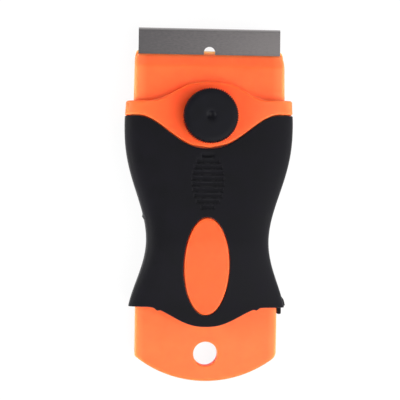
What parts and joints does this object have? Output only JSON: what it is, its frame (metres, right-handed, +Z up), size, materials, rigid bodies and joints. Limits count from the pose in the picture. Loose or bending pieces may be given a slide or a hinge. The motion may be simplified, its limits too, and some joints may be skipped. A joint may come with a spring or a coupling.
{
  "type": "glue scraper",
  "caption": "Hand scraper with a steel blade clamped between nose jaws by a serrated finger knob, a split orange handle with a waisted black soft grip, and a tail plate with a hang hole.",
  "frame": {"origin": "on the flat back of the rear grip, halfway along the tool and halfway across it", "axes": "+X across the tool, +Y along it from the tail to the blade, +Z up out of the front with the knob"},
  "size_m": [0.0462, 0.097, 0.0189],
  "materials": {
    "orange_plastic": "satin moulded",
    "soft_grip": "matte moulded",
    "black_plastic": "satin moulded",
    "blade_steel": "rolled, with a ground edge",
    "plated_steel": "zinc plated"
  },
  "bodies": {
    "handle": {"front_shell": "orange_plastic", "rear_shell": "orange_plastic", "front_grip": "soft_grip", "rear_grip": "soft_grip", "blade_holder": "orange_plastic", "clamp_nut": "plated_steel", "jaw_spring": "plated_steel", "shell_screw_1": "plated_steel", "shell_screw_2": "plated_steel", "shell_screw_3": "plated_steel", "shell_screw_4": "plated_steel"},
    "jaw": {"clamp_jaw": "orange_plastic", "thrust_washer": "plated_steel"},
    "knob": {"knob": "black_plastic", "clamp_stud": "plated_steel"},
    "blade": {"blade": "blade_steel"}
  },
  "joints": [
    {"name": "jaw_lift", "type": "slide", "parent": "handle", "child": "jaw", "axis": [0, 0, 1], "range_m": [0, 0.0007], "deforming": ["jaw_spring"]},
    {"name": "knob_turn", "type": "hinge", "parent": "jaw", "child": "knob", "pos_m": [0, 0.02405, 0.0188], "axis": [0, 0, 1], "range_deg": [0, 360]},
    {"name": "blade_slide", "type": "slide", "parent": "handle", "child": "blade", "axis": [0, 1, 0], "range_m": [0, 0.013]}
  ],
  "couplings": [
    {"joint": "knob_turn", "follows": "jaw_lift", "rad_per_m": 8975.9}
  ]
}
